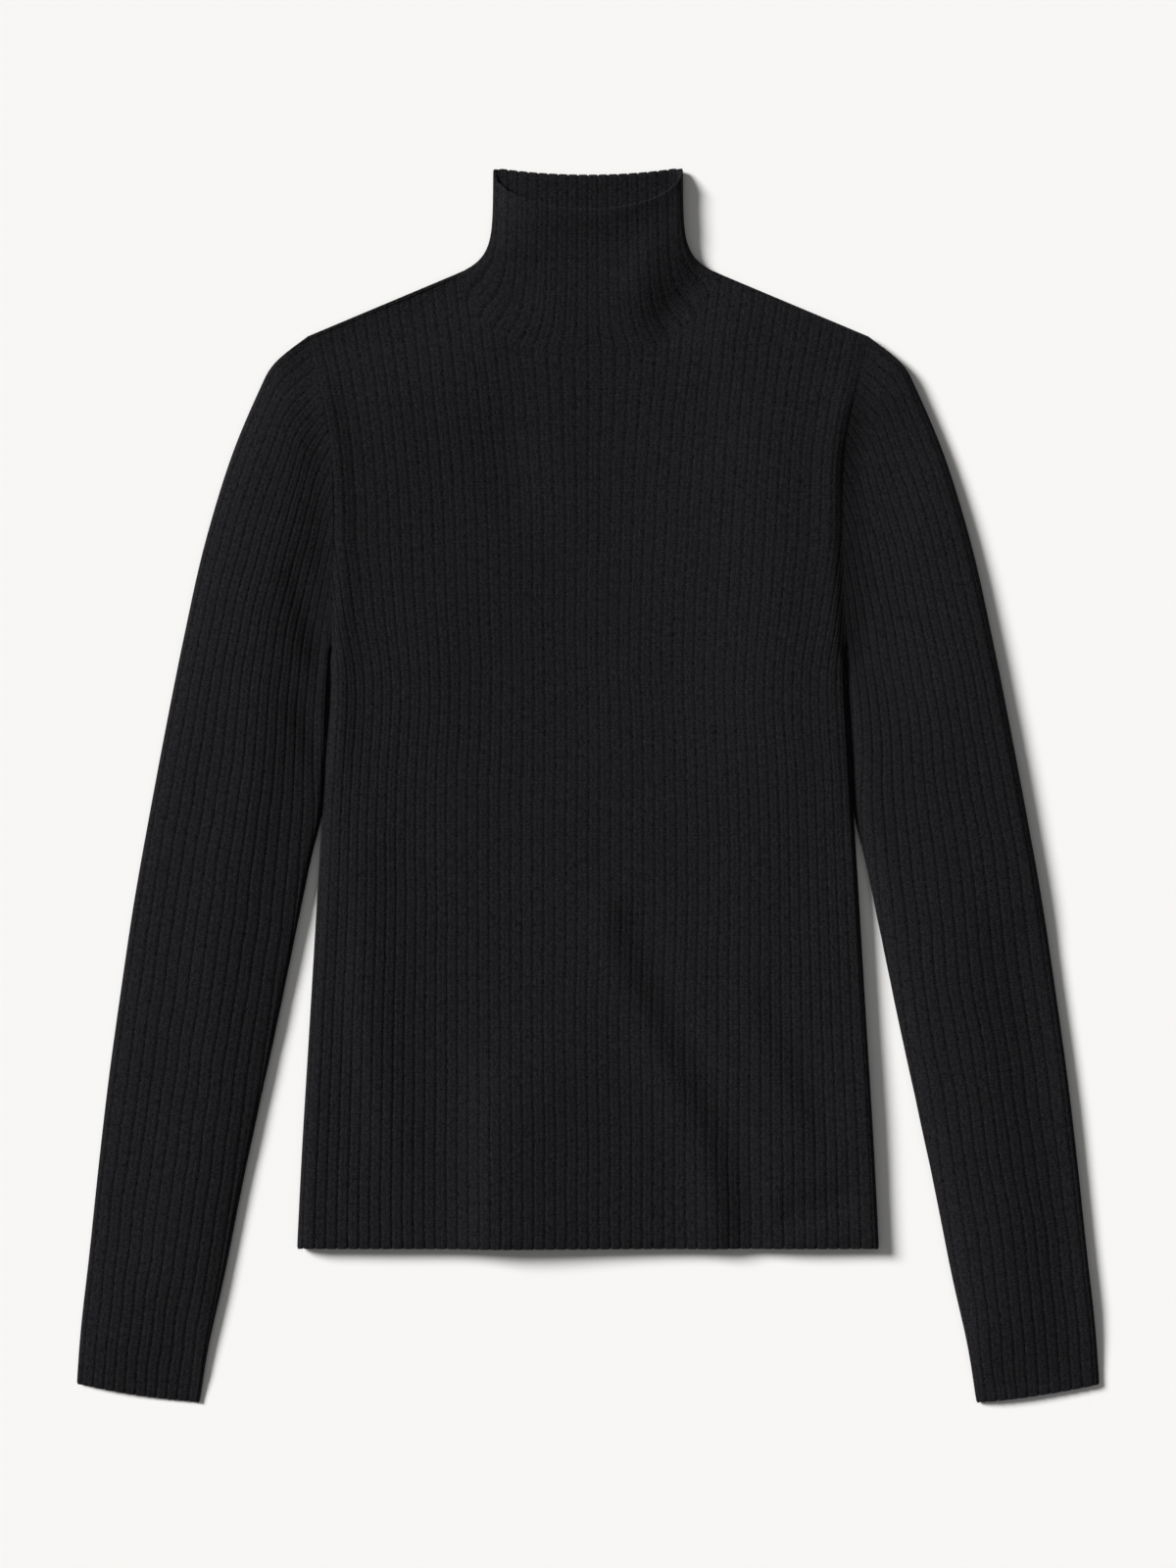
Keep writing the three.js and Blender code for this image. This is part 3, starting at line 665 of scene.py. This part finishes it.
class Wool:
    """A material and its nodes."""

    def __init__(self, name):
        self.material = bpy.data.materials.new(name)
        self.material.use_nodes = True
        self.tree = self.material.node_tree
        self.tree.nodes.clear()

    def node(self, kind, inputs=(), **settings):
        made = self.tree.nodes.new(kind)
        for setting, to in settings.items():
            setattr(made, setting, to)
        for key, to in dict(inputs).items():
            if isinstance(to, Value):
                to = to.socket
            if isinstance(to, bpy.types.NodeSocket):
                self.tree.links.new(made.inputs[key], to)
            else:
                made.inputs[key].default_value = to
        return made

    def value(self, kind, inputs=(), output=0, **settings):
        return Value(self, self.node(kind, inputs, **settings).outputs[output])

    def noise(self, scale, detail, roughness=0.6):
        place = self.node("ShaderNodeTexCoord").outputs["Object"]
        inputs = {"Vector": place, "Scale": scale, "Detail": detail, "Roughness": roughness}
        return self.value("ShaderNodeTexNoise", inputs, output="Fac")

    def streaks(self, rib, course):
        """Noise drawn out along the ribs."""
        place = self.node("ShaderNodeCombineXYZ", {"X": rib * 6, "Y": course * 0.7}).outputs["Vector"]
        inputs = {"Vector": place, "Scale": 1.0, "Detail": 2, "Roughness": 0.6}
        return self.value("ShaderNodeTexNoise", inputs, output="Fac")

    def colour_between(self, dark, light, share):
        inputs = {"Factor": share, "A": (*dark, 1), "B": (*light, 1)}
        mix = self.node("ShaderNodeMix", {}, data_type="RGBA")
        for key, to in inputs.items():
            sockets = [s for s in mix.inputs if s.name == key and s.enabled]
            if isinstance(to, Value):
                self.tree.links.new(sockets[0], to.socket)
            else:
                sockets[0].default_value = to
        return next(s for s in mix.outputs if s.enabled)


YARN_DARK = (0.0009, 0.0009, 0.0013)
YARN_LIGHT = (0.0345, 0.0346, 0.0376)


def rib_knit(name):
    """Near-black wool: two columns of knit stitches on each rib and one purl column between."""
    wool = Wool(name)
    knit = wool.node("ShaderNodeUVMap", uv_map="knit").outputs["UV"]
    split = wool.node("ShaderNodeSeparateXYZ", {"Vector": knit})
    rib, course = (Value(wool, split.outputs[axis]) for axis in ("X", "Y"))
    off_middle = (rib.fraction() - 0.5).size()
    on_rib = 1 - off_middle.above(0.40)
    # groove marks the purl column between two ribs, where painted shade goes into the colour below
    groove = ((off_middle - 0.40) * 14).least(1) * (1 - on_rib)
    across = ((off_middle - 0.20) / 0.20).size().least(1)
    leg = 0.5 + 0.5 * ((course - 0.42 * across) * (2 * math.pi)).cosine()
    stitch = (1 - across * across) * (0.45 + 0.55 * leg)
    purl = 0.3 + 0.3 * (course * (2 * math.pi)).cosine()
    fibre = wool.noise(800, 2, 0.7)
    streak = wool.streaks(rib, course)
    patchy = wool.noise(260, 3)
    height = 0.7 * (stitch * on_rib + purl * (1 - on_rib)) + fibre * 1.4
    bump = wool.node(
        "ShaderNodeBump", {"Height": height, "Strength": 0.45, "Distance": 0.0006}
    )
    # Painted shade: the grooves between ribs are coloured darker, and a faint painted highlight
    # lightens each stitch where it stands highest. The noise terms on the next line are the yarn's own
    # uneven tone.
    shade = 0.26 + 0.03 * stitch - 0.09 * groove
    shade = shade + 0.7 * (fibre - 0.5) + 0.5 * (streak - 0.5) + 0.2 * (patchy - 0.5)
    colour = wool.colour_between(YARN_DARK, YARN_LIGHT, shade)
    cloth = wool.node("ShaderNodeBsdfPrincipled", {
        "Base Color": colour,
        "Roughness": 0.92,
        "Specular IOR Level": 0.04,
        "Sheen Weight": 0.03,
        "Sheen Roughness": 0.45,
        "Sheen Tint": (1, 0.99, 1, 1),
        "Normal": bump.outputs["Normal"],
    })
    wool.node("ShaderNodeOutputMaterial", {"Surface": cloth.outputs["BSDF"]})
    return wool.material


def plain(name, colour, roughness):
    made = Wool(name)
    surface = made.node("ShaderNodeBsdfPrincipled", {
        "Base Color": (*colour, 1),
        "Roughness": roughness,
        "Specular IOR Level": 0.0,
    })
    made.node("ShaderNodeOutputMaterial", {"Surface": surface.outputs["BSDF"]})
    return made.material


# The pieces, each with the flat size and area of its cut
face_ribs = rib_columns(-SIDE_RIB, SIDE_RIB)
back_ribs = rib_columns(-SIDE_RIB, SIDE_RIB, steps=(0, 0.12, 0.5, 0.88))
sleeve_ribs = rib_columns(0, SLEEVE_RIBS)
neck_ribs = rib_columns(-NECK_RIB, NECK_RIB)
underside = np.concatenate([np.linspace(0, 0.1, 8)[1:], np.linspace(0.14, 0.86, 14),
                            np.linspace(0.9, 1, 9)])

knit = rib_knit("near_black_rib_knit")
PIECES = [
    (body_panel("front_knit", 1, FRONT_NECK_DROP, face_ribs, 62), "front_panel", (0.362, 0.596), 0.197),
    (body_panel("back_knit", -1, BACK_NECK_DROP, back_ribs, 50), "back_panel", (0.362, 0.596), 0.201),
    (sleeve("left_sleeve_knit", -1, sleeve_ribs, underside, 84), "left_sleeve", (0.34, 0.62), 0.116),
    (sleeve("right_sleeve_knit", 1, sleeve_ribs, underside, 84), "right_sleeve", (0.34, 0.62), 0.116),
    (collar("collar_knit", neck_ribs), "collar", (0.30, 0.10), 0.024),
]
for piece, node, flat, area in PIECES:
    piece.data.materials.append(knit)
    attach(piece, "root")
    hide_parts(node)

# Table, light and camera
floor_mesh = bmesh.new()
bmesh.ops.create_grid(floor_mesh, x_segments=1, y_segments=1, size=4)
table_top = bpy.data.objects.new("table_top", bpy.data.meshes.new("table_top"))
floor_mesh.to_mesh(table_top.data)
floor_mesh.free()
table_top.data.materials.append(plain("pale_table", (0.900, 0.891, 0.876), 0.9))
bpy.context.scene.collection.objects.link(table_top)


def lamp(name, energy, width, lean, bearing):
    """A soft distant lamp of that angular width, leaning from overhead towards a bearing."""
    light = bpy.data.lights.new(name, "SUN")
    light.energy, light.angle = energy, math.radians(width)
    holder = bpy.data.objects.new(name, light)
    holder.rotation_euler = (0, math.radians(lean), math.radians(bearing))
    bpy.context.scene.collection.objects.link(holder)


lamp("window", energy=5.16, width=19.5, lean=57.7, bearing=153)
lamp("ceiling", energy=0.42, width=85, lean=0, bearing=0)
world = bpy.data.worlds.new("studio")
world.use_nodes = True
world.node_tree.nodes["Background"].inputs["Color"].default_value = (1, 1, 1, 1)
world.node_tree.nodes["Background"].inputs["Strength"].default_value = 0.03
bpy.context.scene.world = world

PHOTO_TALL = 0.96
lens = bpy.data.cameras.new("overhead")
lens.lens = 85
lens.sensor_fit = "VERTICAL"
lens.sensor_height = 36
camera = bpy.data.objects.new("overhead", lens)
camera.location = (0, -0.0003, 0.006 + PHOTO_TALL * 85 / 36)
bpy.context.scene.collection.objects.link(camera)
bpy.context.scene.camera = camera
bpy.context.scene.view_settings.view_transform = "Standard"
